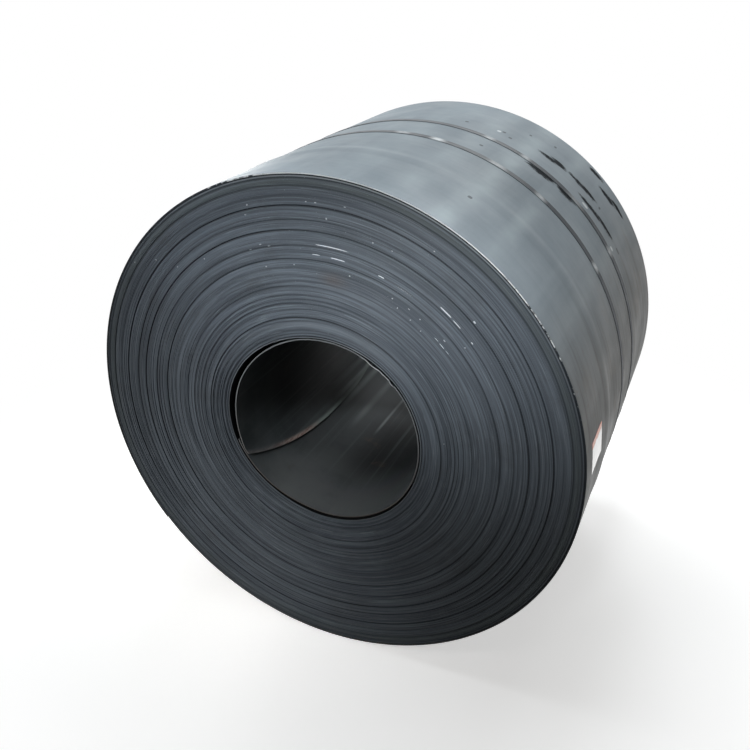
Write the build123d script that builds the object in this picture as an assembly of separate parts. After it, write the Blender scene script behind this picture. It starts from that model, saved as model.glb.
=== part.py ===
from build123d import *
import math
import os

os.makedirs("parts", exist_ok=True)

# A coil of hot-rolled steel strip, lying on its side with its bore level.
# Millimetres. Y runs along the bore from the front end to the rear end, Z is up, and the floor is Z = 0.
# Angles round the coil start at the top and grow towards +X.

# Strip and coil
bore_diameter = 508.0
strip_thickness = 3.0
strip_width = 1000.0
turns = 137

# Sideways wander of the turns, which shows as steps on both ends
turn_scatter = 0.3
slow_wander = 1.0
slow_wander_turns = 31
set_in_depth = 3.0
set_in_turns = (22, 29, 34, 41, 48, 70, 81, 93, 101, 112, 119, 127, 132, 135)

# Innermost turns that have slid towards the rear, the first of them by the full slide
slid_turns = 22
slide = 22.0

# Ridge that the outer turns show, from a thicker line in the strip
ridge_from_front = 260.0
ridge_width = 82.0
ridge_height = 2.0

# Straps
strap_width = 25.0
strap_thickness = 0.9
strap_overlap = 160.0
strap_middle_from_front = 485.0
strap_rear_from_front = 658.0

# Seals that close the straps
seal_angle = -70.0
seal_length = 57.0
seal_thickness = 0.8
seal_side_clearance = 0.4

# Label
label_from_front = 62.0
label_length = 115.0
label_height = 82.0
label_thickness = 0.3
label_angle = 84.6

bore_radius = bore_diameter / 2
outer_radius = bore_radius + turns * strip_thickness
axis_height = outer_radius + max(ridge_height, strap_thickness)
coil_axis = Axis((0, 0, axis_height), (0, 1, 0))


def wander(turn):
    """Sideways shift of one turn of the strip, counted from the bore."""
    scatter = turn_scatter * (2 * turn % 5 - 2)
    slow = slow_wander * math.sin(2 * math.pi * turn / slow_wander_turns)
    set_in = set_in_depth if turn in set_in_turns else 0
    slid = slide * max(0, 1 - turn / slid_turns)
    return scatter + slow + set_in + slid


def turn_shifts():
    """The shift of every turn, with the two ends equally far from the middle of the coil."""
    wanders = [wander(turn) for turn in range(turns)]
    middle = (min(wanders) + max(wanders)) / 2
    return [sideways - middle for sideways in wanders]


shifts = turn_shifts()
front_end = shifts[-1] - strip_width / 2


def at(along, radius):
    """A point of a section, from its place along the bore and its distance from the axis."""
    return (along, axis_height + radius)


def end_steps(end):
    """The stepped line that the strip's edges draw on one end, from the bore outwards."""
    points = []
    for turn, shift in enumerate(shifts):
        inside = bore_radius + turn * strip_thickness
        points.append(at(end + shift, inside))
        points.append(at(end + shift, inside + strip_thickness))
    return points


def make_coil():
    """The wound strip as one turned solid."""
    front = end_steps(-strip_width / 2)
    rear = end_steps(strip_width / 2)
    crest = front_end + ridge_from_front
    quarter = ridge_width / 4
    foot_front = at(crest - 2 * quarter, outer_radius)
    flank_front = at(crest - quarter, outer_radius + ridge_height / 2)
    flank_rear = at(crest + quarter, outer_radius + ridge_height / 2)
    foot_rear = at(crest + 2 * quarter, outer_radius)
    rearwards = (1, 0)
    forwards = (-1, 0)
    with BuildPart() as coil:
        with BuildSketch(Plane.YZ):
            with BuildLine():
                Polyline(*front, foot_front)
                TangentArc(foot_front, flank_front, tangent=rearwards)
                ThreePointArc(flank_front, at(crest, outer_radius + ridge_height), flank_rear)
                TangentArc(foot_rear, flank_rear, tangent=forwards)
                Polyline(foot_rear, *reversed(rear), front[0])
            make_face()
        revolve(axis=coil_axis)
    return coil.part


def bent_bar(middle, width, inner, thickness, length, angle):
    """A flat bar bent round the coil, centred on an angle. A length of None closes it into a ring."""
    arc = 360.0 if length is None else math.degrees(length / inner)
    with BuildPart() as bar:
        with BuildSketch(Plane.YZ):
            with Locations(at(middle, inner + thickness / 2)):
                Rectangle(width, thickness)
        revolve(axis=coil_axis, revolution_arc=arc)
    return bar.part.rotate(coil_axis, angle - arc / 2)


def make_strap(from_front):
    """One strap: a ring round the coil whose ends lie on each other under the seal."""
    middle = front_end + from_front
    ring = bent_bar(middle, strap_width, outer_radius, strap_thickness, None, seal_angle)
    second_layer = outer_radius + strap_thickness
    overlap = bent_bar(middle, strap_width, second_layer, strap_thickness, strap_overlap, seal_angle)
    return ring + overlap


def make_seal(from_front):
    """One seal: a clip over both layers of the strap, with its sides folded down to the coil."""
    middle = front_end + from_front
    inside_width = strap_width + 2 * seal_side_clearance
    inside_height = 2 * strap_thickness
    outside_width = inside_width + 2 * seal_thickness
    outside_height = inside_height + seal_thickness
    block = bent_bar(middle, outside_width, outer_radius, outside_height, seal_length, seal_angle)
    channel = bent_bar(middle, inside_width, outer_radius, inside_height, 2 * seal_length, seal_angle)
    return block - channel


def make_label():
    """The paper label on the outer turn."""
    middle = front_end + label_from_front + label_length / 2
    return bent_bar(middle, label_length, outer_radius, label_thickness, label_height, label_angle)


pieces = {
    "coil": make_coil(),
    "strap_middle": make_strap(strap_middle_from_front),
    "strap_rear": make_strap(strap_rear_from_front),
    "seal_middle": make_seal(strap_middle_from_front),
    "seal_rear": make_seal(strap_rear_from_front),
    "label": make_label(),
}

for name, piece in pieces.items():
    export_step(piece, f"parts/{name}.step")
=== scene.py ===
import math
from math import radians

import bpy
import numpy as np
from mathutils import Matrix, Vector


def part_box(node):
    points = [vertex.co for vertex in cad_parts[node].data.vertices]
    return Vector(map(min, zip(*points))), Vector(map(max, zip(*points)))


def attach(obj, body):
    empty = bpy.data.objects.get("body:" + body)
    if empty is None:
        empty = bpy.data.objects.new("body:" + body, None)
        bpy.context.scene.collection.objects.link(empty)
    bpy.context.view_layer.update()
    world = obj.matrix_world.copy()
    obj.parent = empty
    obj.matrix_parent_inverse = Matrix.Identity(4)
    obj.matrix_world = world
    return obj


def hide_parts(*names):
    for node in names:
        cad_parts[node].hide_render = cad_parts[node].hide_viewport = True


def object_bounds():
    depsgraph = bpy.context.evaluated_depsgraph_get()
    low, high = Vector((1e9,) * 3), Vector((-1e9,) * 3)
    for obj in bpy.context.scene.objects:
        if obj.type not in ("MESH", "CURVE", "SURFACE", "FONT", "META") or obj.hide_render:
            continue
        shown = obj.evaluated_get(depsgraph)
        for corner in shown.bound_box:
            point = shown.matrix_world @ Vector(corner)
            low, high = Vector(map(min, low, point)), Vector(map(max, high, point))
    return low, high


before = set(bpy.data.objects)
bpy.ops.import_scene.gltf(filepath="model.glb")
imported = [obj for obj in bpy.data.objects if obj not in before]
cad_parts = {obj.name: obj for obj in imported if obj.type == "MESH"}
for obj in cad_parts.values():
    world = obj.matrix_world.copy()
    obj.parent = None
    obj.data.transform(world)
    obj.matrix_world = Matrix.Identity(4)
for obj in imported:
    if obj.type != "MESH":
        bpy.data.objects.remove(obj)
cad_low, cad_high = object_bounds()

# Sizes in metres, as in the CAD
BORE_RADIUS = 0.254
OUTER_RADIUS = 0.665
STRIP = 0.003
WIDTH = 1.0
RIDGE_FROM_FRONT = 0.260
RIDGE_WIDTH = 0.082
RIDGE_HEIGHT = 0.002
STRAP_WIDTH = 0.025
STRAP_THICK = 0.0009
STRAP_OVERLAP = 0.160
STRAP_FROM_FRONT = {"strap_middle": 0.485, "strap_rear": 0.658}
SEAL_ANGLE = radians(-70.0)
SEAL_LENGTH = 0.057
SEAL_THICK = 0.0008
SEAL_CLEARANCE = 0.0004
LABEL_FROM_FRONT = 0.062
LABEL_LENGTH = 0.115
LABEL_HEIGHT = 0.082
LABEL_THICK = 0.0003
LABEL_ANGLE = radians(84.6)

# Places that follow from the CAD: the axis, the outer turns' two ends and how far the innermost turn has slid
AXIS_HEIGHT = OUTER_RADIUS + RIDGE_HEIGHT
strap_low, strap_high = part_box("strap_middle")
FRONT = (strap_low.y + strap_high.y) / 2 - STRAP_FROM_FRONT["strap_middle"]
REAR = FRONT + WIDTH
EDGE_PLAY = 0.0005
SLIDE = cad_high.y - REAR - EDGE_PLAY

# The turns next to the innermost one have slid too: how deep into the turns, and how far next to the bore
SLID_TURNS = 22
SLID_DEPTH = SLID_TURNS * STRIP
TURNS_SLIDE = 0.8 * SLIDE
# Behind the crumpled part of the innermost turn they have slid further: share, angle and reach each way
SLID_FURTHER = 0.32
SLID_FURTHER_ANGLE = radians(48.0)
SLID_FURTHER_REACH = radians(85.0)

# Where the wound turns start and end; the innermost and the outermost one are bent sheets of their own
FIRST_RADIUS = BORE_RADIUS + 2.7 * STRIP
LAST_RADIUS = OUTER_RADIUS - 1.1 * STRIP

# The left side of the bore bulges outwards: its angle and reach each way, its size, its depth into the turns
BULGE_ANGLE = radians(-90.0)
BULGE_REACH = radians(80.0)
BULGE = 0.0195
BULGE_DEPTH = 0.100

# How far the edges of the innermost and the outermost turn are nicked
EDGE_NICKS = 0.0004

TAU = 2 * math.pi


# Mesh building

def on_coil(angle, radius, along):
    """Points in the row frame from an angle off the top, a distance from the axis and a place along it."""
    angle, radius, along = np.broadcast_arrays(angle, radius, along)
    return np.stack([radius * np.sin(angle), along, AXIS_HEIGHT + radius * np.cos(angle)], axis=-1)


def loft(points, closed_round):
    """Vertices, quads and vertex numbers of a section loop (first axis) carried round the coil (second)."""
    loops, steps = points.shape[:2]
    index = np.arange(loops * steps).reshape(loops, steps)
    nxt = np.roll(index, -1, axis=0)
    if closed_round:
        a, b = index, np.roll(index, -1, axis=1)
        c, d = np.roll(nxt, -1, axis=1), nxt
    else:
        a, b, c, d = index[:, :-1], index[:, 1:], nxt[:, 1:], nxt[:, :-1]
    quads = np.stack([a, b, c, d], axis=-1).reshape(-1, 4)
    return points.reshape(-1, 3), quads, index


def sheet_caps(index):
    """Quads that close both ends of a bent sheet, whose section runs out on top and back underneath."""
    half = index.shape[0] // 2
    top, under = index[:half], index[half:][::-1]
    caps = []
    for end, flip in ((0, False), (-1, True)):
        quad = np.stack([top[:-1, end], top[1:, end], under[1:, end], under[:-1, end]], axis=-1)
        caps.append(quad[:, ::-1] if flip else quad)
    return np.concatenate(caps)


def add_piece(name, verts, faces, material, replaces, sharp_deg):
    """A mesh object that rides on the coil and stands for a CAD node."""
    mesh = bpy.data.meshes.new(name)
    mesh.from_pydata(verts.tolist(), [], faces.tolist())
    mesh.validate()
    mesh.materials.append(material)
    obj = bpy.data.objects.new(name, mesh)
    bpy.context.scene.collection.objects.link(obj)
    mesh.shade_smooth()
    mesh.set_sharp_from_angle(angle=radians(sharp_deg))
    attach(obj, "root")
    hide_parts(replaces)


def bent_sheet(name, outer, inner, angle, along, material, replaces, sharp_deg):
    """A bent sheet: outer and inner radius and place along the coil by station and angle."""
    top = on_coil(angle, outer, along)
    under = on_coil(angle, inner, along)[::-1]
    verts, quads, index = loft(np.concatenate([top, under]), False)
    faces = np.concatenate([quads, sheet_caps(index)])
    add_piece(name, verts, faces, material, replaces, sharp_deg)


def wrapped(angle):
    """An angle brought between minus and plus half a turn."""
    return (angle + math.pi) % TAU - math.pi


def bump(x, centre, half_width):
    """A smooth hump of height 1 that is 0 outside centre plus or minus half_width."""
    d = np.clip(np.abs(x - centre) / half_width, 0, 1)
    return 0.5 + 0.5 * np.cos(math.pi * d)


def ease(x, start, end):
    """0 up to start, 1 from end on, and a smooth rise between them."""
    t = np.clip((x - start) / (end - start), 0, 1)
    return t * t * (3 - 2 * t)


def smooth_noise(x, waves, seed):
    """Smooth values around -1..1 that join up after a full turn, from a sum of sines."""
    r = np.random.default_rng(seed)
    total = np.zeros_like(x, dtype=float)
    for k in range(1, waves + 1):
        total += r.uniform(0.4, 1.0) / math.sqrt(k) * np.sin(k * x + r.uniform(0, TAU))
    return total / math.sqrt(waves)


# Materials

# How squarely a face looks along the coil to count a little, and fully, as a cut edge
CUT_EDGE_FROM, CUT_EDGE_FULL = 0.6, 0.8
# Where a patch has faded out and where it still covers fully, in half sizes from its middle
PATCH_END, PATCH_FULL = 1.15, 0.35


class Nodes:
    """A material's node tree with short calls for the nodes used here."""

    def __init__(self, name):
        self.material = bpy.data.materials.new(name)
        self.material.use_nodes = True
        self.tree = self.material.node_tree
        self.shader = self.tree.nodes["Principled BSDF"]
        self.place = None

    def add(self, kind, values=None, **settings):
        node = self.tree.nodes.new(kind)
        for key, value in settings.items():
            setattr(node, key, value)
        for key, value in (values or {}).items():
            self.put(node.inputs[key], value)
        return node

    def put(self, socket, value):
        if isinstance(value, bpy.types.NodeSocket):
            self.tree.links.new(value, socket)
        else:
            socket.default_value = value

    def math(self, operation, a, b=0.0):
        node = self.add("ShaderNodeMath", operation=operation)
        self.put(node.inputs[0], a)
        self.put(node.inputs[1], b)
        return node.outputs[0]

    def times(self, a, b):
        return self.math("MULTIPLY", a, b)

    def off(self, value, centre):
        """How far a value is from a centre."""
        return self.math("ABSOLUTE", self.math("SUBTRACT", value, centre))

    def spread(self, value, low, high, to_low=0.0, to_high=1.0):
        """Value mapped smoothly from low..high to to_low..to_high and held outside."""
        node = self.add("ShaderNodeMapRange", interpolation_type="SMOOTHSTEP")
        for socket, v in zip(node.inputs[:5], (value, low, high, to_low, to_high)):
            self.put(socket, v)
        return node.outputs[0]

    def within(self, value, start, full, fade, end):
        """1 from full to fade, falling smoothly to 0 at start and at end."""
        return self.times(self.spread(value, start, full), self.spread(value, end, fade))

    def near(self, value, centre, reach):
        """How near a value is to a centre: 1 on it, falling smoothly to 0 at the reach."""
        return self.spread(self.off(value, centre), 0.0, reach, 1.0, 0.0)

    def near_angle(self, middle, half):
        """How near a place is to an angle off the top, with that angle and the reach in degrees."""
        return self.near(self.polar()[0], radians(middle), radians(half))

    def vector(self, x, y, z=0.0):
        node = self.add("ShaderNodeCombineXYZ")
        for socket, v in zip(node.inputs, (x, y, z)):
            self.put(socket, v)
        return node.outputs[0]

    def noise(self, vector, scale, detail=3.0, rough=0.55):
        values = {"Vector": vector, "Scale": scale, "Detail": detail, "Roughness": rough}
        return self.add("ShaderNodeTexNoise", values).outputs["Fac"]

    def stretched(self, a, a_scale, b, b_scale, detail=3.0, rough=0.55):
        """Noise over two coordinates, each with a scale of its own."""
        place = self.vector(self.times(a, a_scale), self.times(b, b_scale))
        return self.noise(place, 1.0, detail, rough)

    def mix(self, factor, a, b):
        node = self.add("ShaderNodeMix", data_type="RGBA")
        self.put(node.inputs["Factor"], factor)
        self.put(node.inputs["A"], a)
        self.put(node.inputs["B"], b)
        return node.outputs["Result"]

    def paint(self, colour, cover, strength, paint):
        """A colour with another one painted over it where the cover says, at a strength."""
        return self.mix(self.times(cover, strength), colour, paint)

    def polar(self):
        """Angle off the top, distances from the axis and from the front end, and the plain coordinates."""
        if self.place is None:
            coords = self.add("ShaderNodeTexCoord").outputs["Object"]
            split = self.add("ShaderNodeSeparateXYZ", {"Vector": coords}).outputs
            up = self.math("SUBTRACT", split["Z"], AXIS_HEIGHT)
            angle = self.math("ARCTAN2", split["X"], up)
            flat = self.vector(split["X"], 0.0, up)
            radius = self.add("ShaderNodeVectorMath", {0: flat}, operation="LENGTH").outputs["Value"]
            self.place = (angle, radius, self.math("SUBTRACT", split["Y"], FRONT), coords)
        return self.place

    def raised(self, value, centre, reach, power):
        """How far a value is from a centre, counted in reaches and raised to a power."""
        share = self.math("DIVIDE", self.math("SUBTRACT", value, centre), reach)
        return self.math("POWER", self.math("ABSOLUTE", share), power)

    def patch(self, angle, across, mark, ragged, roughness, ends):
        """A long mark with ragged edges: first and last angle in degrees, place across it and half width.

        A higher number for the ends makes them blunter.
        """
        first, last, place, half = mark
        middle, reach = radians((first + last) / 2), radians((last - first) / 2)
        lengthwise = self.raised(angle, middle, reach, ends)
        crosswise = self.raised(across, place, half, 2.0)
        rough = self.times(self.math("SUBTRACT", ragged, 0.5), roughness)
        far = self.math("ADD", self.math("ADD", lengthwise, crosswise), rough)
        return self.spread(far, PATCH_END, PATCH_FULL)

    def patches(self, angle, across, marks, ragged, roughness, ends=4.0):
        """All marks of a list together."""
        total = 0.0
        for mark in marks:
            total = self.math("MAXIMUM", total, self.patch(angle, across, mark, ragged, roughness, ends))
        return total

    def cut_edge(self):
        """1 on faces that look along the coil, which are the strip's cut edges."""
        normal = self.add("ShaderNodeNewGeometry").outputs["True Normal"]
        along = self.add("ShaderNodeSeparateXYZ", {"Vector": normal}).outputs["Y"]
        return self.spread(self.math("ABSOLUTE", along), CUT_EDGE_FROM, CUT_EDGE_FULL)

    def unbulged(self, angle, radius):
        """The distance from the axis that a turn had before the left side of the bore bulged."""
        share = self.math("MINIMUM", self.math("DIVIDE", self.off(angle, BULGE_ANGLE), BULGE_REACH), 1.0)
        wave = self.math("COSINE", self.times(share, math.pi))
        size = self.times(self.math("ADD", wave, 1.0), BULGE / 2)
        moved = self.math("SUBTRACT", radius, self.times(size, 1 + BORE_RADIUS / BULGE_DEPTH))
        squeezed = self.math("SUBTRACT", 1.0, self.math("DIVIDE", size, BULGE_DEPTH))
        return self.math("MINIMUM", self.math("DIVIDE", moved, squeezed), radius)

    def bumps(self, height, strength, distance):
        node = self.add("ShaderNodeBump", {"Height": height, "Strength": strength, "Distance": distance})
        self.put(self.shader.inputs["Normal"], node.outputs["Normal"])

    def set(self, **values):
        for key, value in values.items():
            self.put(self.shader.inputs[key.replace("_", " ")], value)


def rgb(r, g, b):
    """A colour written as sRGB 0-255."""
    def linear(c):
        c /= 255
        return c / 12.92 if c <= 0.04045 else ((c + 0.055) / 1.055) ** 2.4
    return (linear(r), linear(g), linear(b), 1.0)


# Mill scale on the outer turn

# Black rub marks: first and last angle in degrees, metres from the front end, half width
RUB_MARKS = [
    (28.2, 36.9, 0.638, 0.024),
    (37.4, 43.6, 0.640, 0.021),
    (42.6, 51.8, 0.728, 0.014),
    (48.2, 57.4, 0.735, 0.013),
    (28.2, 34.4, 0.779, 0.014),
    (31.1, 37.2, 0.791, 0.017),
    (36.8, 47.4, 0.794, 0.015),
    (45.2, 53.2, 0.918, 0.015),
    (50.2, 56.2, 0.939, 0.014),
    (39.8, 46.2, 0.973, 0.015),
]
RUB_BLUNTNESS = 2.4
# Small dark specks, and small light spots that are painted glints, in the same order
SPECKS = [
    (26.0, 27.1, 0.202, 0.008),
    (17.7, 18.7, 0.570, 0.007),
    (20.6, 21.6, 0.745, 0.008),
    (9.0, 10.0, 0.745, 0.007),
    (18.3, 19.3, 0.770, 0.008),
    (23.5, 24.3, 0.862, 0.007),
    (30.1, 30.9, 0.896, 0.008),
    (48.6, 49.3, 0.790, 0.009),
    (58.7, 60.6, 0.735, 0.007),
]
PAINTED_GLINT_SPOTS = [(17.1, 18.2, 0.760, 0.009), (44.5, 46.6, 0.700, 0.009), (57.0, 58.4, 0.692, 0.008)]
# Painted reflections as light streaks along the coil: angle and half width in degrees, strength
SHEET_PAINTED_REFLECTIONS = [(4.0, 7.0, 0.25), (16.0, 5.0, 0.35), (26.3, 4.5, 0.75), (37.6, 3.2, 0.5), (57.5, 4.0, 0.3)]
# Painted shade on the ridge's dark front flank and a painted highlight on its light rear flank: metres from
# its crest, reach each way, colour
RIDGE_PAINTED_FLANKS = [(-0.024, 0.028, rgb(84, 91, 98)), (0.018, 0.026, rgb(168, 177, 181))]
RIDGE_SHADE = 0.07
# Dust and painted shade on the sides, darker and warmer there: angles off the top where it starts and where
# it is full, full strength
SIDE_DUST_SHADE_FROM, SIDE_DUST_SHADE_FULL = radians(45), radians(80)
SIDE_DUST_SHADE_STRENGTH = 0.65
# The upper part of the rim, chipped by handling and lit by a painted highlight: where the chips and highlight
# start, are full, start to fade and end
RIM_CHIPS_AND_HIGHLIGHT = [radians(degrees) for degrees in (-40, 2, 25, 85)]


def make_sheet_material():
    n = Nodes("mill_scale")
    angle, _, along, _ = n.polar()
    round_ = n.times(angle, OUTER_RADIUS)
    unrolled = n.vector(round_, along)
    clouds = n.noise(unrolled, 3.2, 5.0, 0.55)
    colour = n.mix(n.spread(clouds, 0.3, 0.7), rgb(118, 128, 135), rgb(137, 147, 154))
    rolled = n.stretched(round_, 1.2, along, 60.0, 4.0)
    colour = n.mix(n.spread(rolled, 0.4, 0.75, 0.0, 0.14), colour, rgb(99, 107, 113))
    drawn = n.stretched(round_, 20.0, along, 1.1, 4.0)
    colour = n.mix(n.spread(drawn, 0.45, 0.75, 0.0, 0.22), colour, rgb(152, 163, 169))
    uneven = n.spread(n.noise(unrolled, 5.5, 3.0), 0.35, 0.65, 0.25, 1.0)
    # Painted reflections: light streaks along the coil, broken up by noise
    for middle, half, strength in SHEET_PAINTED_REFLECTIONS:
        painted_reflection = n.times(n.near_angle(middle, half), uneven)
        colour = n.paint(colour, painted_reflection, strength, rgb(160, 171, 176))
    # Painted shade and highlight on the ridge's flanks
    for off, reach, shade in RIDGE_PAINTED_FLANKS:
        flank = n.near(along, RIDGE_FROM_FRONT + off, reach)
        colour = n.paint(colour, flank, RIDGE_SHADE, shade)
    fine = n.noise(unrolled, 110.0, 3.0, 0.7)
    colour = n.mix(n.spread(fine, 0.55, 0.8, 0.0, 0.14), colour, rgb(150, 158, 164))
    # Dust and painted shade: the sides darker and warmer than the top
    dust_and_shade = n.spread(n.math("ABSOLUTE", angle), SIDE_DUST_SHADE_FROM, SIDE_DUST_SHADE_FULL, 0.0, SIDE_DUST_SHADE_STRENGTH)
    colour = n.mix(dust_and_shade, colour, rgb(100, 97, 92))
    runs = n.stretched(round_, 2.2, along, 38.0, 5.0, 0.65)
    colour = n.paint(colour, n.spread(runs, 0.46, 0.68), dust_and_shade, rgb(76, 74, 72))
    blooms = n.noise(unrolled, 6.5, 6.0, 0.68)
    colour = n.paint(colour, n.spread(blooms, 0.50, 0.70, 0.0, 0.7), dust_and_shade, rgb(122, 117, 109))
    flash = n.noise(unrolled, 34.0, 6.0, 0.72)
    colour = n.paint(colour, n.spread(flash, 0.60, 0.70, 0.0, 0.8), dust_and_shade, rgb(104, 80, 64))
    hairlines = n.stretched(round_, 9.0, along, 260.0, 3.0, 0.7)
    colour = n.mix(n.spread(hairlines, 0.63, 0.70, 0.0, 0.35), colour, rgb(146, 152, 156))
    ragged = n.stretched(round_, 14.0, along, 130.0, 4.0, 0.7)
    # Painted glints as small light spots
    glint_spots = n.patches(angle, along, PAINTED_GLINT_SPOTS, ragged, 1.2)
    colour = n.paint(colour, glint_spots, 0.75, rgb(212, 217, 220))
    specks = n.patches(angle, along, SPECKS, ragged, 1.0)
    colour = n.paint(colour, specks, 0.75, rgb(46, 51, 57))
    mottled = n.noise(unrolled, 42.0, 4.0, 0.7)
    scuffed = n.math("ADD", n.times(ragged, 0.55), n.times(mottled, 0.45))
    rubs = n.patches(angle, along, RUB_MARKS, scuffed, 5.0, RUB_BLUNTNESS)
    gritty = n.noise(unrolled, 260.0, 3.0, 0.7)
    grit = n.mix(n.spread(gritty, 0.45, 0.7), rgb(13, 15, 18), rgb(44, 48, 53))
    colour = n.paint(colour, rubs, 0.97, grit)
    # Chips and a painted highlight, light on the rim's cut edge, over the upper part
    top_wear_and_light = n.within(angle, *RIM_CHIPS_AND_HIGHLIGHT)
    chips_and_highlight = n.math("ADD", n.stretched(round_, 34.0, along, 0.0, 4.0, 0.7), n.times(top_wear_and_light, 0.33))
    edge = n.mix(n.spread(chips_and_highlight, 0.62, 0.74), rgb(46, 51, 56), rgb(226, 231, 234))
    colour = n.mix(n.cut_edge(), colour, edge)
    rough = n.spread(n.noise(unrolled, 9.0, 5.0), 0.3, 0.7, 0.36, 0.5)
    rough = n.math("MAXIMUM", rough, n.times(rubs, 0.85))
    n.set(Base_Color=colour, Roughness=rough, Specular_IOR_Level=0.06)
    height = n.math("ADD", n.times(fine, 0.5), n.times(rolled, 0.5))
    n.bumps(height, 0.07, 0.0005)
    return n.material


# The strip's edges on the two ends

# Turns that stand back from the rest: distance from the axis in metres, set-back in millimetres, darkness of
# their painted shade
GROOVES = [
    (0.3205, 4.2, 0.85), (0.3410, 2.0, 0.40), (0.3560, 2.6, 0.55), (0.3650, 1.4, 0.30),
    (0.3770, 2.0, 0.40), (0.3975, 2.4, 0.45), (0.4220, 1.0, 0.20), (0.4460, 1.4, 0.25), (0.4655, 3.6, 0.75),
    (0.4980, 3.2, 0.65), (0.5340, 4.4, 0.95), (0.5585, 3.2, 0.60), (0.5910, 5.0, 1.00), (0.6110, 1.4, 0.30),
    (0.6350, 3.2, 0.65), (0.6535, 1.0, 0.75), (0.6602, 0.5, 1.00),
]
# The three next to the bore fade in and out on the way round: the same, then the shares left above and below
BORE_GROOVES = [
    (0.2658, 1.4, 0.85, 1.0, 0.3),
    (0.2745, 2.4, 0.70, 0.8, 0.3),
    (0.2838, 2.6, 0.75, 0.45, 1.0),
]
ABOVE, BELOW = radians(90.0), radians(140.0)
# How a groove shows: reach of its dark line each way, the share of its darkness that is painted shade, colour
# of that shade
GROOVE_REACH = 0.0034
GROOVE_PAINTED_SHARE = 0.85
GROOVE_SHADE_COLOUR = rgb(16, 18, 22)
# A brown stain: angle and half width in degrees, distance from the axis and reach each way
STAIN_ANGLE, STAIN_HALF = 6.0, 7.0
STAIN_RADIUS, STAIN_REACH = 0.428, 0.028
# Rings: distance from the axis and reach each way; a green tint, a lighter ring, and painted highlights on
# the first turn and under the rim
GREEN_RING = (0.6435, 0.014)
BRIGHT_RING = (0.301, 0.017)
FIRST_TURN_HIGHLIGHT = (FIRST_RADIUS + STRIP / 3, STRIP / 2)
UNDER_RIM_HIGHLIGHT = (0.6572, 0.7 * STRIP)
# How quickly the tones of the turns change round the coil
TONE_RUN = 1.2
# Painted shade on the turns' walls, in metres from the front end: where they start to go dark, are dark,
# start to end and end
SHADED_WALLS = (0.0150, 0.0170, WIDTH - 0.020, WIDTH - 0.006)
# Long light scratches on the front end: first and last angle in degrees, distance from the axis, half width
SCRATCHES = [
    (0.0, 9.6, 0.5042, 0.0010), (37.0, 41.0, 0.5045, 0.0013), (41.6, 44.6, 0.5035, 0.0010),
    (4.6, 9.0, 0.4795, 0.0013), (19.0, 20.9, 0.4795, 0.0011), (41.8, 43.6, 0.4395, 0.0009),
    (44.2, 46.2, 0.4385, 0.0009), (47.0, 48.4, 0.4390, 0.0008), (-1.0, 1.5, 0.4800, 0.0007),
    (24.0, 30.0, 0.4785, 0.0006), (48.8, 49.5, 0.5030, 0.0016), (44.9, 45.7, 0.5390, 0.0016),
]
# Nicks in the edges of single turns, in the same order
NICKS = [
    (49.0, 49.4, 0.482, 0.0016), (27.8, 28.1, 0.434, 0.0022), (33.0, 33.3, 0.430, 0.0018),
    (37.5, 37.8, 0.426, 0.0018), (-7.2, -6.8, 0.452, 0.0016), (10.8, 11.3, 0.450, 0.0018),
    (-17.0, -16.5, 0.452, 0.0016), (-16.8, -16.0, 0.506, 0.0012), (2.9, 3.3, 0.568, 0.0028),
    (-35.5, -35.1, 0.524, 0.0018), (-44.5, -44.1, 0.552, 0.0014), (-48.2, -47.8, 0.604, 0.0018),
    (-53.2, -52.9, 0.646, 0.0020), (-16.8, -16.4, 0.601, 0.0020), (-2.0, -1.6, 0.601, 0.0012),
    (0.2, 0.7, 0.601, 0.0014), (28.3, 28.7, 0.600, 0.0012), (80.0, 80.4, 0.331, 0.0014),
    (44.0, 44.8, 0.453, 0.0014), (20.0, 20.4, 0.548, 0.0012), (15.0, 15.4, 0.546, 0.0018),
    (-20.5, -19.8, 0.499, 0.0012), (25.0, 25.5, 0.446, 0.0016), (30.6, 31.4, 0.449, 0.0012),
    (-18.2, -17.6, 0.580, 0.0012), (-14.5, -13.6, 0.499, 0.0014), (7.0, 7.6, 0.604, 0.0012),
    (35.0, 35.5, 0.446, 0.0014),
]


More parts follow.
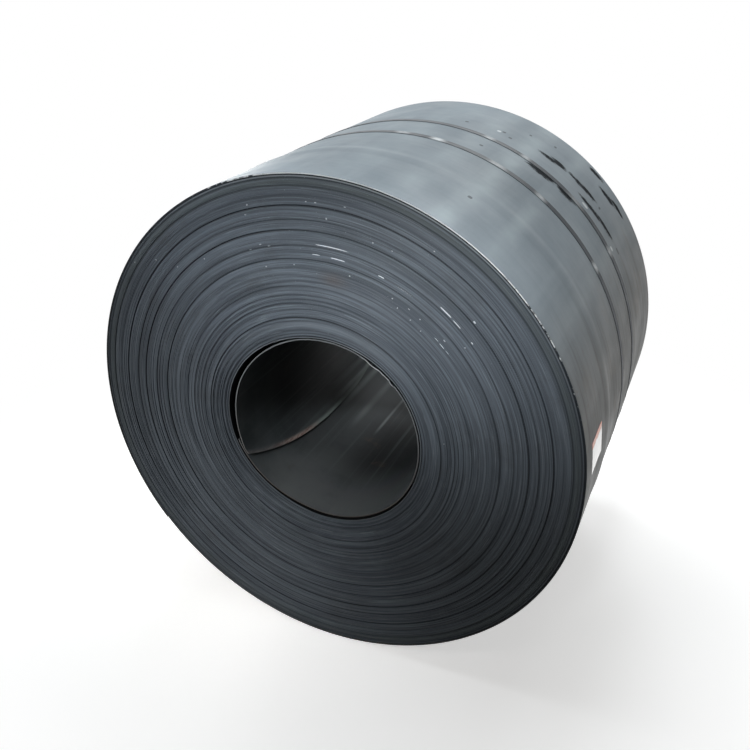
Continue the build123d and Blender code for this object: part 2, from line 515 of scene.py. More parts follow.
def make_edge_material():
    n = Nodes("strip_edges")
    angle, radius, along, coords = n.polar()
    wound = n.unbulged(angle, radius)
    turn = n.math("DIVIDE", wound, STRIP)
    swing = n.times(n.math("COSINE", angle), TONE_RUN)
    sway = n.times(n.math("SINE", angle), TONE_RUN)
    by_turn = n.noise(n.vector(n.times(turn, 0.7), swing, sway), 1.0, 3.0, 0.7)
    by_group = n.noise(n.vector(n.times(turn, 0.12), swing, sway), 1.0, 3.0, 0.6)
    colour = n.mix(n.spread(by_turn, 0.3, 0.7), rgb(74, 80, 87), rgb(104, 112, 121))
    colour = n.mix(n.spread(by_group, 0.45, 0.65, 0.0, 0.4), colour, rgb(66, 71, 78))
    hair = n.noise(n.vector(n.times(turn, 1.6), n.times(swing, 3.0), n.times(sway, 3.0)), 1.0, 2.0, 0.6)
    colour = n.mix(n.spread(hair, 0.60, 0.72, 0.0, 0.42), colour, rgb(142, 150, 158))
    # Painted shade in the grooves where turns stand back
    for at, _, darkness in GROOVES:
        colour = n.paint(colour, n.near(wound, at, GROOVE_REACH), darkness * GROOVE_PAINTED_SHARE, GROOVE_SHADE_COLOUR)
    off_top = n.math("ABSOLUTE", angle)
    for at, _, darkness, above, below in BORE_GROOVES:
        strength = darkness * GROOVE_PAINTED_SHARE
        left = n.spread(off_top, ABOVE, BELOW, above * strength, below * strength)
        colour = n.paint(colour, n.near(wound, at, GROOVE_REACH), left, GROOVE_SHADE_COLOUR)
    grime = n.noise(coords, 6.0, 6.0, 0.65)
    colour = n.mix(n.spread(grime, 0.52, 0.75, 0.0, 0.4), colour, rgb(68, 69, 69))
    stain = n.times(n.near_angle(STAIN_ANGLE, STAIN_HALF), n.near(radius, STAIN_RADIUS, STAIN_REACH))
    colour = n.paint(colour, stain, 0.45, rgb(86, 77, 72))
    colour = n.paint(colour, n.near(wound, *GREEN_RING), 0.35, rgb(84, 92, 90))
    bright = n.times(n.near(wound, *BRIGHT_RING), n.near_angle(0.0, 70.0))
    colour = n.paint(colour, bright, 0.30, rgb(150, 158, 167))
    # Painted highlights on the first turn and, over the upper part, on the turn under the rim
    colour = n.paint(colour, n.near(wound, *FIRST_TURN_HIGHLIGHT), 0.35, rgb(150, 156, 160))
    under_rim_highlight = n.times(n.near(wound, *UNDER_RIM_HIGHLIGHT), n.near_angle(15.0, 75.0))
    colour = n.paint(colour, under_rim_highlight, 0.55, rgb(168, 174, 178))
    front_half = n.spread(along, WIDTH / 2 + 0.01, WIDTH / 2 - 0.01)
    top_wear_and_light = n.times(n.near_angle(5.0, 62.0), front_half)
    # Light flecks of wear, made denser over the upper part of the front end as painted light
    flecks = n.math("ADD", n.stretched(angle, 110.0, turn, 0.9, 2.0, 0.7), n.times(top_wear_and_light, 0.05))
    colour = n.mix(n.spread(flecks, 0.73, 0.79, 0.0, 0.6), colour, rgb(164, 171, 177))
    ragged = n.stretched(angle, 150.0, turn, 1.8, 3.0, 0.75)
    scratched = n.patches(angle, wound, SCRATCHES, ragged, 2.2)
    nicked = n.times(n.patches(angle, wound, NICKS, ragged, 2.4), 0.5)
    light = n.times(n.math("MAXIMUM", scratched, nicked), front_half)
    colour = n.mix(light, colour, rgb(216, 221, 226))
    # Painted shade: the turns' walls, but not their cut edges, near black
    deep = n.times(n.within(along, *SHADED_WALLS), n.math("SUBTRACT", 1.0, n.cut_edge()))
    colour = n.mix(deep, colour, rgb(12, 13, 15))
    rough = n.spread(by_turn, 0.3, 0.7, 0.42, 0.56)
    n.set(Base_Color=colour, Roughness=rough, Specular_IOR_Level=0.10)
    n.bumps(hair, 0.15, 0.0004)
    return n.material


# Mill scale in the bore

# Where the free end of the innermost turn lies: degrees at the ends of the coil, how far its middle reaches
# beyond that, the place of the middle as a share of the width, and how blunt the tongue is
FREE_END_ANGLE = -118.3
FREE_END_REACH = 18.6
FREE_END_MIDDLE = 0.45
FREE_END_POWER = 2.5
# The shaded upper part: its middle, and the angles off it where the shade starts to end and has ended
SHADE_MIDDLE = radians(10)
SHADE_FULL, SHADE_END = radians(68), radians(112)
# Dust and painted light at the bottom, lighter there: angles off the bottom where it has ended and where it
# is full
BORE_DUST_LIGHT_END, BORE_DUST_LIGHT_FULL = radians(70), radians(28)
# Painted shade deep in the bore, in metres from the front end: where it starts, is full, starts to fade and
# ends
DEEP_SHADE_LENGTH = (0.02, 0.31, 0.80, 0.98)
# The painted shade thins to a share of 0.7 between these two places, and to 0.66 round the lap
DEEP_SHADE_THINS = (0.48, 0.66)
LAP_ANGLE = radians(-140)
LAP_FULL, LAP_END = radians(12), radians(45)
# Painted reflections as light streaks: angle and half width in degrees, first and full depth in metres,
# strength
BORE_PAINTED_REFLECTIONS = [
    (-170.0, 1.6, 0.42, 0.52, 0.40), (-153.0, 3.6, 0.38, 0.60, 0.45), (-138.6, 3.2, 0.46, 0.60, 0.75),
    (-131.8, 2.2, 0.44, 0.56, 0.85), (-125.0, 3.0, 0.45, 0.60, 0.40), (-116.0, 6.0, 0.45, 0.65, 0.25),
    (-60.0, 5.0, 0.30, 0.60, 0.25), (15.0, 7.0, 0.25, 0.60, 0.25), (95.0, 5.0, 0.30, 0.60, 0.35),
    (140.0, 6.0, 0.5, 0.7, 0.35),
]
# The worn, rusty band along the free end, lighter with painted light too, in metres from that end: where it
# starts, is full, starts to fade and ends
FREE_END_LIT_BAND = (-0.001, 0.001, 0.004, 0.015)
# The crushed part of the front edge, which has a painted highlight: angle and half width in degrees
CRUSHED_ANGLE, CRUSHED_HALF = 36.0, 17.0


def make_inside_material():
    n = Nodes("mill_scale_inside")
    angle, _, along, _ = n.polar()
    unrolled = n.vector(n.times(angle, BORE_RADIUS), along)
    mottle = n.noise(unrolled, 7.0, 5.0, 0.6)
    shaded = n.mix(n.spread(mottle, 0.3, 0.7), rgb(22, 24, 26), rgb(32, 35, 37))
    plain = n.mix(n.spread(mottle, 0.3, 0.7), rgb(66, 72, 76), rgb(86, 92, 95))
    colour = n.mix(n.spread(n.off(angle, SHADE_MIDDLE), SHADE_FULL, SHADE_END), shaded, plain)
    from_bottom = n.math("SUBTRACT", math.pi, n.math("ABSOLUTE", angle))
    # Dust and painted light: the bottom of the bore lighter
    dust_and_light = n.spread(from_bottom, BORE_DUST_LIGHT_END, BORE_DUST_LIGHT_FULL)
    dust_and_light = n.times(dust_and_light, n.spread(mottle, 0.2, 0.6, 0.5, 1.0))
    colour = n.paint(colour, dust_and_light, 0.8, rgb(104, 108, 110))
    # Painted shade: the bore near black along the middle of its length
    deep_shade = n.times(n.within(along, *DEEP_SHADE_LENGTH), n.spread(along, *DEEP_SHADE_THINS, 1.0, 0.7))
    deep_shade = n.times(deep_shade, n.spread(n.off(angle, LAP_ANGLE), LAP_FULL, LAP_END, 0.66, 1.0))
    colour = n.paint(colour, deep_shade, 0.92, rgb(14, 15, 16))
    # Painted reflections: light streaks deep in the bore
    for middle, half, first, full, strength in BORE_PAINTED_REFLECTIONS:
        bore_reflection = n.times(n.near_angle(middle, half), n.spread(along, first, full))
        colour = n.paint(colour, bore_reflection, strength, rgb(142, 150, 150))
    drawn = n.stretched(angle, 16.0, along, 0.7, 3.0)
    colour = n.mix(n.spread(drawn, 0.52, 0.7, 0.0, 0.3), colour, rgb(88, 94, 95))
    rust = n.noise(unrolled, 11.0, 5.0, 0.7)
    colour = n.mix(n.spread(rust, 0.60, 0.75, 0.0, 0.35), colour, rgb(78, 64, 56))
    half_tongue = FREE_END_MIDDLE * WIDTH
    tongue = n.math("SUBTRACT", 1.0, n.raised(along, SLIDE + half_tongue, half_tongue, FREE_END_POWER))
    reach = n.times(tongue, -radians(FREE_END_REACH))
    end = n.math("ADD", radians(FREE_END_ANGLE), reach)
    from_end = n.times(n.math("SUBTRACT", angle, end), BORE_RADIUS)
    # Rust and wear with painted light along the free end
    wear_and_painted_light = n.times(n.within(from_end, *FREE_END_LIT_BAND), n.spread(along, 0.09, 0.22, 0.15, 1.0))
    patchy = n.spread(n.stretched(angle, 30.0, along, 26.0, 4.0, 0.7), 0.35, 0.6)
    rusty = n.mix(patchy, rgb(118, 84, 74), rgb(164, 150, 144))
    band = n.mix(n.spread(along, 0.26, 0.36), rusty, rgb(118, 128, 124))
    colour = n.paint(colour, wear_and_painted_light, 0.8, band)
    # Painted light: the cut edge lighter towards the top
    upwards = n.spread(from_bottom, radians(40), radians(110))
    edge = n.mix(upwards, rgb(92, 88, 86), rgb(112, 116, 119))
    # Painted highlight on the crushed part of the edge
    crushed_highlight = n.near_angle(CRUSHED_ANGLE, CRUSHED_HALF)
    edge = n.paint(edge, crushed_highlight, 0.8, rgb(176, 181, 184))
    colour = n.mix(n.cut_edge(), colour, edge)
    rough = n.spread(mottle, 0.3, 0.7, 0.34, 0.48)
    n.set(Base_Color=colour, Roughness=rough, Specular_IOR_Level=0.08)
    n.bumps(n.noise(unrolled, 120.0, 3.0), 0.1, 0.0005)
    return n.material


# Steel of the straps

# Bent places, rubbed bright and with painted glints: angle and half width in degrees, brightness
STRAP_BENDS_AND_GLINTS = {
    "strap_middle": [(1.5, 2.6, 0.55), (10.0, 2.6, 1.0), (24.8, 3.6, 0.6), (36.6, 2.4, 0.6), (56.3, 2.0, 0.7),
                     (118.0, 3.0, 0.6), (205.0, 2.4, 0.7), (246.0, 3.0, 0.5)],
    "strap_rear": [(17.8, 2.2, 0.6), (27.6, 2.0, 0.6), (43.0, 4.0, 0.35), (57.4, 2.0, 0.6),
                   (96.0, 3.0, 0.6), (170.0, 2.4, 0.7), (231.0, 3.0, 0.5)],
}
# The top, lighter from rubbing and painted light: its middle, and the angles off it where that has ended and
# is full
RUBBED_LIT_MIDDLE = radians(4)
RUBBED_LIT_END, RUBBED_LIT_FULL = radians(38), radians(14)


def make_strap_material():
    n = Nodes("strap_steel")
    angle, _, along, _ = n.polar()
    unrolled = n.vector(n.times(angle, OUTER_RADIUS), along)
    mottle = n.noise(unrolled, 30.0, 5.0, 0.6)
    colour = n.mix(n.spread(mottle, 0.3, 0.7), rgb(48, 53, 59), rgb(62, 67, 73))
    # Rubbing and painted light: the straps lighter on the top
    rubbed_and_lit = n.spread(n.off(angle, RUBBED_LIT_MIDDLE), RUBBED_LIT_END, RUBBED_LIT_FULL)
    streaky = n.stretched(angle, 9.0, along, 70.0, 4.0, 0.6)
    rubbed_and_lit = n.times(rubbed_and_lit, n.spread(streaky, 0.25, 0.6, 0.45, 1.0))
    colour = n.paint(colour, rubbed_and_lit, 0.8, rgb(116, 119, 122))
    ragged = n.stretched(angle, 60.0, along, 90.0, 3.0, 0.7)
    for name, bends in STRAP_BENDS_AND_GLINTS.items():
        here = n.near(along, STRAP_FROM_FRONT[name], 2 * STRAP_WIDTH)
        # Painted glints and rubbing at the bends
        for bend, half, brightness in bends:
            close = n.times(n.near_angle(bend if bend < 180 else bend - 360, half), here)
            wear_and_painted_light = n.times(close, n.spread(ragged, 0.3, 0.6, 0.55, 1.0))
            colour = n.paint(colour, wear_and_painted_light, brightness, rgb(214, 219, 222))
    scuffs = n.stretched(angle, 22.0, along, 60.0, 4.0, 0.7)
    colour = n.mix(n.spread(scuffs, 0.66, 0.74, 0.0, 0.4), colour, rgb(150, 155, 159))
    rough = n.spread(mottle, 0.3, 0.7, 0.34, 0.48)
    n.set(Base_Color=colour, Roughness=rough, Specular_IOR_Level=0.06)
    n.bumps(scuffs, 0.1, 0.0004)
    return n.material


# Zinc of the seals

def make_seal_material():
    n = Nodes("seal_zinc")
    coords = n.polar()[3]
    spangle = n.noise(coords, 160.0, 4.0, 0.6)
    colour = n.mix(n.spread(spangle, 0.3, 0.7), rgb(104, 107, 109), rgb(140, 143, 145))
    n.set(Base_Color=colour, Roughness=n.spread(spangle, 0.3, 0.7, 0.3, 0.45), Metallic=0.8)
    n.bumps(spangle, 0.08, 0.0003)
    return n.material


# Paper of the label

# The orange border: angle of its middle from the label's upper edge and reach each way, in radians
BORDER_FROM_EDGE = 0.010
BORDER_REACH = 0.024


def make_label_material():
    n = Nodes("label_paper")
    angle, _, _, coords = n.polar()
    fibres = n.noise(coords, 420.0, 4.0, 0.7)
    stain = n.noise(coords, 30.0, 4.0, 0.6)
    colour = n.mix(n.spread(fibres, 0.3, 0.7), rgb(240, 239, 236), rgb(248, 247, 245))
    colour = n.mix(n.spread(stain, 0.58, 0.75, 0.0, 0.3), colour, rgb(212, 206, 198))
    upper = LABEL_ANGLE - LABEL_HEIGHT / OUTER_RADIUS / 2
    band = n.times(n.near(angle, upper + BORDER_FROM_EDGE, BORDER_REACH), n.spread(stain, 0.75, 0.55))
    colour = n.mix(n.spread(band, 0.2, 0.5), colour, rgb(238, 122, 72))
    gloss = n.spread(band, 0.2, 0.5, 1.0, 0.3)
    n.set(Base_Color=colour, Roughness=0.3, Specular_IOR_Level=gloss)
    n.set(Coat_Weight=gloss, Coat_Roughness=0.15)
    n.bumps(fibres, 0.1, 0.0002)
    return n.material


steel = make_sheet_material()
edges = make_edge_material()
inside = make_inside_material()
strap_steel = make_strap_material()
seal_zinc = make_seal_material()
paper = make_label_material()


# The wound turns between the innermost and the outermost one

TURN_STEPS = 240
TURNS_SHARP_DEG = 30.0
GROUPS = ("turns_inner", "turns_middle", "turns_outer")
turn_count = int(round((LAST_RADIUS - FIRST_RADIUS) / STRIP))
TURN_PITCH = (LAST_RADIUS - FIRST_RADIUS) / turn_count
round_angles = np.arange(TURN_STEPS) * TAU / TURN_STEPS
# Sideways wander in metres: slow waves over many turns (size, turns in a wave, phase), scatter of each turn,
# waves round the coil (number, size), and how far forward a turn may come
SLOW_WANDER = [(0.0006, 31, 0.0), (0.0005, 11.3, 1.0)]
TURN_SCATTER = 0.00035
ROUND_WANDER = [(1, 0.00035), (2, 0.00022), (3, 0.00015)]
FURTHEST_FORWARD = -0.0018
# A groove's half width, the share of its depth that it has, and how that varies on the way round
GROOVE_HALF = 0.75 * STRIP
GROOVE_SHARE = 0.85
GROOVE_VARIES = 0.25
GROOVE_WAVES = 4
GROOVE_SEED = 100
# A turn's edge in section: where it starts and ends as shares of its thickness, how far it slopes back, and
# how deep the gaps between two edges are
LIP, SHOULDER = 0.14, 0.86
SLOPE = 0.0010
GAP_LEAST = 0.0007
GAP_VARIES = 0.0009
# The strip's outer free end, where the outermost turn has sunk by its own thickness: angle, share of the
# round where that starts, how far it sinks, how deep into the turns this goes
TAIL_ANGLE = radians(-128.0)
TUCK_START = 0.80
TUCK = 1.03 * STRIP
TUCK_DEPTH = 0.045

rng = np.random.default_rng(41)


def bulged(angle, radius):
    """A turn's distance from the axis once the left side of the bore has bulged."""
    fade = np.clip(1 - (radius - BORE_RADIUS) / BULGE_DEPTH, 0, 1)
    return radius + BULGE * bump(wrapped(angle), BULGE_ANGLE, BULGE_REACH) * fade


def wound_radius(angle, radius):
    """A turn's distance from the axis, with the outer turns pressed in where the outermost one runs out."""
    share = (angle - TAIL_ANGLE) % TAU / TAU
    depth = np.clip(1 - (LAST_RADIUS - radius) / TUCK_DEPTH, 0, 1)
    return bulged(angle, radius) - TUCK * ease(share, TUCK_START, 1.0) * depth


def slid(angle, radius):
    """How far a turn has slid towards the rear, further behind the crumpled part of the innermost one."""
    further = 1 + SLID_FURTHER * bump(wrapped(angle), SLID_FURTHER_ANGLE, SLID_FURTHER_REACH)
    return TURNS_SLIDE * further * np.clip(1 - (radius - BORE_RADIUS) / SLID_DEPTH, 0, 1)


def set_back(radius, at, depth, share):
    """How far the turns near a groove stand back, from its depth in millimetres and the share of it here."""
    return depth / 1000 * share * np.exp(-((radius - at) / GROOVE_HALF) ** 2)


def turn_shifts():
    """Sideways shift of each turn at each angle, in metres; above 0 is towards the rear."""
    number = np.arange(turn_count)[:, None]
    radius = FIRST_RADIUS + (number + 0.5) * TURN_PITCH
    shift = sum(size * np.sin(number * TAU / turns + phase) for size, turns, phase in SLOW_WANDER)
    shift = shift + rng.normal(0, TURN_SCATTER, (turn_count, 1))
    for waves, size in ROUND_WANDER:
        phase = rng.uniform(0, TAU, (turn_count, 1))
        shift = shift + rng.normal(0, size, (turn_count, 1)) * np.cos(waves * round_angles + phase)
    for k, (at, depth, _) in enumerate(GROOVES):
        share = GROOVE_SHARE + GROOVE_VARIES * smooth_noise(round_angles, GROOVE_WAVES, GROOVE_SEED + k)
        shift = shift + set_back(radius, at, depth, share)
    off_top = np.abs(wrapped(round_angles))
    for at, depth, _, above, below in BORE_GROOVES:
        share = above + (below - above) * ease(off_top, ABOVE, BELOW)
        shift = shift + set_back(radius, at, depth, share)
    return slid(round_angles, radius) + np.maximum(shift, FURTHEST_FORWARD)


def ring(radius, along):
    """Points of one line round the wound turns."""
    return on_coil(round_angles, wound_radius(round_angles, radius), along)


def make_turns():
    shifts = turn_shifts()
    gaps = GAP_LEAST + GAP_VARIES * rng.random(turn_count) ** 2
    # The first turn keeps a square corner towards the bore
    gaps[0] = 0.0
    per_group = math.ceil(turn_count / len(GROUPS))
    for g, name in enumerate(GROUPS):
        first, last = g * per_group, min((g + 1) * per_group, turn_count)
        front, rear = [], []
        for i in range(first, last):
            s = shifts[i]
            below = shifts[i - 1] if i > 0 else s
            foot = FIRST_RADIUS + i * TURN_PITCH
            edge = foot + LIP * TURN_PITCH
            back = foot + SHOULDER * TURN_PITCH
            front.append(ring(foot, FRONT + np.maximum(s, below) + gaps[i]))
            front.append(ring(edge, FRONT + s))
            front.append(ring(back, FRONT + s + SLOPE))
            rear.append(ring(foot, REAR + np.minimum(s, below) - gaps[i]))
            rear.append(ring(edge, REAR + s))
            rear.append(ring(back, REAR + s - SLOPE))
        top = FIRST_RADIUS + last * TURN_PITCH
        front.append(ring(top, FRONT + shifts[last - 1] + 2 * SLOPE))
        rear.append(ring(top, REAR + shifts[last - 1] - 2 * SLOPE))
        verts, quads, _ = loft(np.stack(front + rear[::-1]), True)
        add_piece(name, verts, quads, edges, "coil", TURNS_SHARP_DEG)


make_turns()


# The outermost turn, with the strip's free end on the hidden side

OUTER_STEPS = 360
SHEET_SHARP_DEG = 35.0
# How far its top lies under the CAD's outside, and its thickness
OUTER_UNDER = 0.0003
OUTER_THICK = 0.93 * STRIP
# Stations across the strip: metres from each edge, shares of the ridge, metres behind it
EDGE_STATIONS = np.array([0.0, 0.0006, 0.002, 0.005, 0.012, 0.03, 0.06, 0.1, 0.15, 0.2])
RIDGE_STATIONS = np.linspace(-0.55, 0.55, 23)
PLAIN_STATIONS = np.arange(0.32, 0.80, 0.04)
# Shallow hollows towards the rear: depth, middle and reach across the strip
HOLLOWS = 0.0002
HOLLOWS_MIDDLE, HOLLOWS_REACH = 0.8, 0.4
# Rounding of the two edges
EDGE_ROUND = 0.0003


def make_outer_turn():
    ridge_places = RIDGE_FROM_FRONT + RIDGE_STATIONS * RIDGE_WIDTH
    places = [EDGE_STATIONS, ridge_places, PLAIN_STATIONS, WIDTH - EDGE_STATIONS[::-1]]
    place = np.concatenate(places)[:, None]
    share = np.linspace(0, 1, OUTER_STEPS + 1)[None, :]
    angle = TAIL_ANGLE + share * TAU
    ridge = RIDGE_HEIGHT * bump(place, RIDGE_FROM_FRONT, RIDGE_WIDTH / 2)
    uneven = 1 + smooth_noise(angle, waves=9, seed=7)
    hollows = -HOLLOWS * uneven * bump(place, HOLLOWS_MIDDLE, HOLLOWS_REACH)
    tuck = TUCK * ease(share, TUCK_START, 1.0)
    rounded = EDGE_ROUND * (np.minimum(place, WIDTH - place) < EDGE_ROUND)
    outer = OUTER_RADIUS - OUTER_UNDER - tuck + ridge + hollows - rounded
    inner = outer - OUTER_THICK + rounded
    nick_front = EDGE_NICKS * smooth_noise(angle, waves=40, seed=21)
    nick_rear = EDGE_NICKS * smooth_noise(angle, waves=40, seed=22)
    along = FRONT + nick_front + place * (WIDTH + nick_rear - nick_front) / WIDTH
    bent_sheet("outer_turn", outer, inner, angle, along, steel, "coil", SHEET_SHARP_DEG)


make_outer_turn()


# The innermost turn, which has sprung loose at its free end

INNER_STEPS = 480
# The steps lie closer together towards the free end by this power
INNER_CROWDING = 1.2
# Stations across the strip: metres from each edge, and even ones between them
INNER_EDGE_STATIONS = np.array([0.0, 0.0008, 0.003, 0.01])
INNER_PLAIN_STATIONS = np.linspace(0.02, 0.97, 40)
# How far it stands off the next turn on the left, and the degrees where that starts, is widest and ends
LOOSE_GAP = 0.0115
LOOSE_START, LOOSE_WIDEST, LOOSE_END = -118.0, -86.0, -16.0
# Where it ends, and where it climbs to make room for its own start, all in degrees, and how high it climbs
INNER_END = 252.0
CLIMB_START, CLIMB_END = 190.0, 225.0
CLIMB = 1.1 * STRIP
# Small ripples, the curl of the free end, its reach, and how much that grows towards the rear
RIPPLES = 0.0004
CURL = 0.004
CURL_REACH = 0.014
CURL_GROWS = 0.02
CURL_POWER = 1.5
# How far back the free end's corners may run, as a share of its reach
CORNERS_BACK = -0.3
# Crumpled places of its front edge: angle and half width in degrees, how far pushed back and how far inwards
CRUMPLES = [
    (24.0, 4.0, 0.002, 0.0020),
    (31.5, 6.5, 0.001, 0.0048),
    (39.5, 5.0, 0.001, 0.0024),
    (46.0, 3.2, 0.003, 0.0052),
]
CRUMPLE_DEPTH = 0.045


def loosened(degrees):
    """How far the innermost turn stands off the next one on the left of the bore."""
    rise = np.clip((degrees - LOOSE_START) / (LOOSE_WIDEST - LOOSE_START), 0, 1)
    fall = np.clip((degrees - LOOSE_WIDEST) / (LOOSE_END - LOOSE_WIDEST), 0, 1)
    before = degrees < LOOSE_WIDEST
    return LOOSE_GAP * np.where(before, np.sin(np.radians(90 * rise)), np.cos(np.radians(90 * fall)))


def make_inner_turn():
    places = [INNER_EDGE_STATIONS, INNER_PLAIN_STATIONS, WIDTH - INNER_EDGE_STATIONS[::-1]]
    place = np.concatenate(places)[:, None]
    off_middle = np.abs((place - FREE_END_MIDDLE) / FREE_END_MIDDLE)
    tongue = np.clip(1 - off_middle ** FREE_END_POWER, CORNERS_BACK, 1)
    start = np.radians(FREE_END_ANGLE - FREE_END_REACH * tongue)
    share = np.linspace(0, 1, INNER_STEPS + 1)[None, :] ** INNER_CROWDING
    angle = start + share * (radians(INNER_END) - start)
    degrees = np.degrees(angle)
    near_front = np.exp(-place / CRUMPLE_DEPTH)
    pushed_back, pushed_in = 0.0, 0.0
    for middle, half, back, inwards in CRUMPLES:
        hump = bump(degrees, middle, half) * near_front
        pushed_back = pushed_back + back * hump
        pushed_in = pushed_in + inwards * hump
    climb = CLIMB * ease(degrees, CLIMB_START, CLIMB_END)
    ripples = RIPPLES * np.abs(smooth_noise(angle, waves=26, seed=5))
    from_tip = (angle - start) * BORE_RADIUS
    curl = CURL * np.clip(1 - from_tip / (CURL_REACH + CURL_GROWS * place), 0, 1) ** CURL_POWER
    inner = bulged(angle, BORE_RADIUS) + climb - loosened(degrees) - pushed_in - ripples - curl
    nick = EDGE_NICKS * smooth_noise(angle, waves=30, seed=31)
    along = FRONT + SLIDE + nick + pushed_back + place * (WIDTH - 2 * EDGE_PLAY) / WIDTH
    bent_sheet("inner_turn", inner + STRIP, inner, angle, along, inside, "coil", SHEET_SHARP_DEG)


make_inner_turn()


# Straps and seals

STRAP_STEPS = 1440
SEAL_STEPS = 115
STRAP_SHARP_DEG = 30.0
# Easing of a strap's upper edges, as a share of its thickness
STRAP_EASED = 0.35
# How far a strap lifts off and tilts where it is bent
BEND_LIFT = 0.0003
BEND_TILT = 0.02
# The upper end of a strap: how high it lies, and where it starts to climb, in overlaps before its end
LAP_LIFT = 1.05 * STRAP_THICK
LAP_CLIMB = 1.6
SEAL_CORNER = 0.0006
# Crimps of the seals, measured along the strap: places, reach each way and the share of the width they take
CRIMPS = (-0.0150, 0.0150)
CRIMP_REACH = 0.0042
CRIMP_DEPTH = 0.14


def flat_section(width, thickness):
    """A flat bar's section as a loop of (across, height), with eased edges."""
    half = width / 2
    eased = STRAP_EASED * thickness
    top = [(-half + eased, thickness), (half - eased, thickness)]
    sides = [(half, thickness - eased), (half, 0.0), (-half, 0.0), (-half, thickness - eased)]
    return np.array(top + sides)


def add_bar(name, points, material):
    """A lofted bar, closed by one face at each end."""
    verts, quads, index = loft(points, False)
    caps = [index[:, 0][::-1].tolist(), index[:, -1].tolist()]
    faces = np.array(quads.tolist() + caps, dtype=object)
    add_piece(name, verts, faces, material, name, STRAP_SHARP_DEG)


def crimped(angle):
    """Share of its width that a strap or seal keeps where the crimping tool has notched both together."""
    off = wrapped(angle - SEAL_ANGLE)
    pinch = np.zeros_like(angle)
    for at in CRIMPS:
        pinch += bump(off * OUTER_RADIUS, at, CRIMP_REACH)
    return 1 - CRIMP_DEPTH * pinch


def make_strap(name):
    section = flat_section(STRAP_WIDTH, STRAP_THICK)
    overlap = STRAP_OVERLAP / OUTER_RADIUS
    start, end = SEAL_ANGLE - overlap / 2, SEAL_ANGLE + overlap / 2 + TAU
    angle = np.linspace(start, end, STRAP_STEPS + 1)
    lift = np.zeros_like(angle)
    tilt = np.zeros_like(angle)
    for k, (bend, half, _) in enumerate(STRAP_BENDS_AND_GLINTS[name]):
        hump = bump(angle, radians(bend), radians(half))
        lift += BEND_LIFT * hump
        tilt += (BEND_TILT if k % 2 else -BEND_TILT) * hump
    lift += LAP_LIFT * ease(angle, end - LAP_CLIMB * overlap, end - overlap)
    across = section[:, :1] * crimped(angle)
    height = section[:, 1:] + lift + across * tilt
    points = on_coil(angle, OUTER_RADIUS + height, FRONT + STRAP_FROM_FRONT[name] + across)
    add_bar(name, points, strap_steel)


def make_seal(name, strap):
    inside_half = STRAP_WIDTH / 2 + SEAL_CLEARANCE
    outside_half = inside_half + SEAL_THICK
    inside_top = 2 * STRAP_THICK
    top = inside_top + SEAL_THICK
    loop = np.array([
        (-outside_half, 0.0), (-outside_half, top - SEAL_CORNER), (-outside_half + SEAL_CORNER, top),
        (outside_half - SEAL_CORNER, top), (outside_half, top - SEAL_CORNER), (outside_half, 0.0),
        (inside_half, 0.0), (inside_half, inside_top), (-inside_half, inside_top), (-inside_half, 0.0),
    ])
    reach = SEAL_LENGTH / OUTER_RADIUS / 2
    angle = SEAL_ANGLE + np.linspace(-reach, reach, SEAL_STEPS)
    along = FRONT + STRAP_FROM_FRONT[strap] + loop[:, :1] * crimped(angle)
    add_bar(name, on_coil(angle, OUTER_RADIUS + loop[:, 1:], along), seal_zinc)


for strap_name in STRAP_FROM_FRONT:
    make_strap(strap_name)
    make_seal(strap_name.replace("strap", "seal"), strap_name)


# The label

LABEL_STEPS = 25
LABEL_SHARP_DEG = 50.0
# How far it lies off the coil, and the curl of its lower rear corner: height, where it starts and its reach
LABEL_LIFT = 0.0001
LABEL_CURL = 0.0010
LABEL_CURL_FROM, LABEL_CURL_REACH = 1.6, 0.4


def make_label():
    reach = LABEL_HEIGHT / OUTER_RADIUS / 2
    u = np.linspace(0, 1, LABEL_STEPS)[None, :]
    v = np.linspace(0, 1, LABEL_STEPS)[:, None]
    angle = LABEL_ANGLE + (2 * u - 1) * reach
    along = FRONT + LABEL_FROM_FRONT + v * LABEL_LENGTH
    curl = LABEL_CURL * np.clip((u + v - LABEL_CURL_FROM) / LABEL_CURL_REACH, 0, 1) ** 2
    base = OUTER_RADIUS + LABEL_LIFT + curl
    bent_sheet("label", base + LABEL_THICK, base, angle, along, paper, "label", LABEL_SHARP_DEG)


make_label()


# Floor, light and camera

WHITE = (1, 1, 1, 1)
BLACK = (0, 0, 0, 1)
FLOOR_SIZE = 60.0
FLOOR_PALE = (0.90, 0.90, 0.90, 1)
FLOOR_BOUNCE = (0.40, 0.375, 0.33, 1)
FLOOR_WHITENING = 0.52
# Metres from the coil's middle between which the floor turns plain white
FLOOR_FADE = (0.9, 1.9)
WORLD_LEVEL = 0.13
WORLD_TINT = (1.0, 0.95, 0.88, 1)
# Lamps: name, place, target, width, depth, power, colour, spread in degrees
LAMPS = [
    ("overhead", (-0.85, 0.35, 4.0), (0, 0.1, 0.7), 2.6, 2.6, 86.0, (0.94, 0.98, 1.0), 180.0),
    ("behind", (0.5, 2.9, 3.4), (0.2, 0.0, 1.2), 1.8, 1.0, 42.0, (0.94, 0.98, 1.0), 180.0),
    ("front_top", (0.12, -2.4, 2.6), (0.08, -0.5, 1.04), 1.2, 0.16, 1.9, (0.95, 0.98, 1.0), 20.0),
    ("front_low", (-0.9, -2.2, 1.9), (-0.33, -0.5, 0.33), 0.6, 0.4, 0.95, (1.0, 0.98, 0.96), 25.0),
    ("left_rear", (-2.6, 2.0, 1.0), (-0.3, 0.25, 0.55), 1.4, 1.0, 5.5, (1.0, 0.99, 0.97), 60.0),
    ("right_low", (2.9, 0.5, 0.9), (0.5, 0.05, 0.55), 1.4, 0.8, 0.9, (1.0, 0.98, 0.95), 60.0),
]
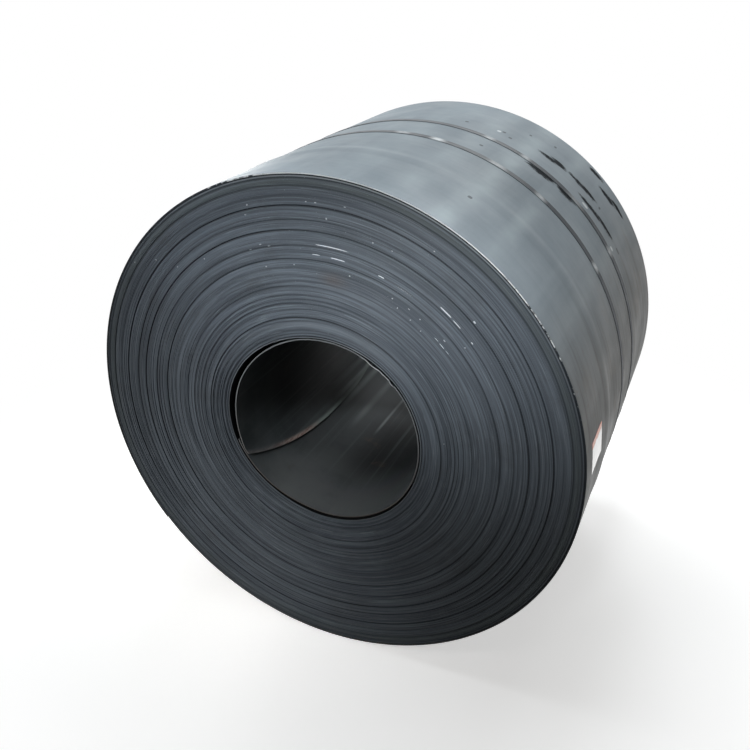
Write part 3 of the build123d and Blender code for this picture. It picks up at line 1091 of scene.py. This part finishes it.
# The camera: lens and sensor in millimetres, place from the front end's middle, its directions
LENS = 40.55
SENSOR = 36.0
CAMERA_FROM_FRONT = Vector((0.8559, -1.6228, 1.1163))
CAMERA_RIGHT = Vector((0.91673, 0.39950, 0.0))
CAMERA_FORWARD = Vector((-0.35508, 0.81481, -0.45825))


def seen_directly(tree):
    """1 on rays from the camera and on reflections and refractions, 0 on scattered light."""
    path = tree.nodes.new("ShaderNodeLightPath").outputs
    seen = path["Is Camera Ray"]
    for other in ("Is Glossy Ray", "Is Transmission Ray"):
        either = tree.nodes.new("ShaderNodeMath")
        either.operation = "MAXIMUM"
        tree.links.new(seen, either.inputs[0])
        tree.links.new(path[other], either.inputs[1])
        seen = either.outputs[0]
    return seen


def make_floor():
    mesh = bpy.data.meshes.new("floor")
    s = FLOOR_SIZE
    mesh.from_pydata([(-s, -s, 0), (s, -s, 0), (s, s, 0), (-s, s, 0)], [], [(0, 1, 2, 3)])
    floor = bpy.data.objects.new("floor", mesh)
    bpy.context.scene.collection.objects.link(floor)
    n = Nodes("floor")
    seen = seen_directly(n.tree)
    coords = n.add("ShaderNodeTexCoord").outputs["Object"]
    distance = n.add("ShaderNodeVectorMath", {0: coords}, operation="LENGTH").outputs["Value"]
    far = n.times(n.spread(distance, *FLOOR_FADE), seen)
    colour = n.mix(far, n.mix(seen, FLOOR_BOUNCE, FLOOR_PALE), BLACK)
    glow = n.times(seen, n.spread(distance, *FLOOR_FADE, FLOOR_WHITENING, 1.0))
    n.set(Base_Color=colour, Roughness=0.9, Specular_IOR_Level=0.0)
    n.set(Emission_Color=WHITE, Emission_Strength=glow)
    mesh.materials.append(n.material)


def make_world():
    world = bpy.data.worlds.new("studio")
    bpy.context.scene.world = world
    world.use_nodes = True
    tree = world.node_tree
    background = tree.nodes["Background"]
    seen = seen_directly(tree)
    strength = tree.nodes.new("ShaderNodeMapRange")
    strength.inputs["To Min"].default_value = WORLD_LEVEL
    tree.links.new(seen, strength.inputs["Value"])
    tree.links.new(strength.outputs["Result"], background.inputs["Strength"])
    tint = tree.nodes.new("ShaderNodeMix")
    tint.data_type = "RGBA"
    tint.inputs["A"].default_value = WORLD_TINT
    tint.inputs["B"].default_value = WHITE
    tree.links.new(seen, tint.inputs["Factor"])
    tree.links.new(tint.outputs["Result"], background.inputs["Color"])


def add_light(name, place, target, width, depth, power, colour, spread):
    light = bpy.data.lights.new(name, "AREA")
    light.spread = radians(spread)
    light.shape = "RECTANGLE"
    light.size = width
    light.size_y = depth
    light.energy = power
    light.color = colour
    lamp = bpy.data.objects.new(name, light)
    lamp.location = place
    lamp.rotation_euler = (Vector(target) - Vector(place)).to_track_quat("-Z", "Y").to_euler()
    lamp.visible_camera = False
    bpy.context.scene.collection.objects.link(lamp)


def make_camera():
    camera = bpy.data.cameras.new("camera")
    camera.lens = LENS
    camera.sensor_width = SENSOR
    obj = bpy.data.objects.new("camera", camera)
    up = CAMERA_RIGHT.cross(CAMERA_FORWARD)
    turn = Matrix((CAMERA_RIGHT, up, -CAMERA_FORWARD)).transposed().to_4x4()
    place = Vector((0, FRONT, AXIS_HEIGHT)) + CAMERA_FROM_FRONT
    obj.matrix_world = Matrix.Translation(place) @ turn
    bpy.context.scene.collection.objects.link(obj)
    bpy.context.scene.camera = obj


make_floor()
make_world()
for lamp_values in LAMPS:
    add_light(*lamp_values)
make_camera()
bpy.context.scene.view_settings.view_transform = "Standard"
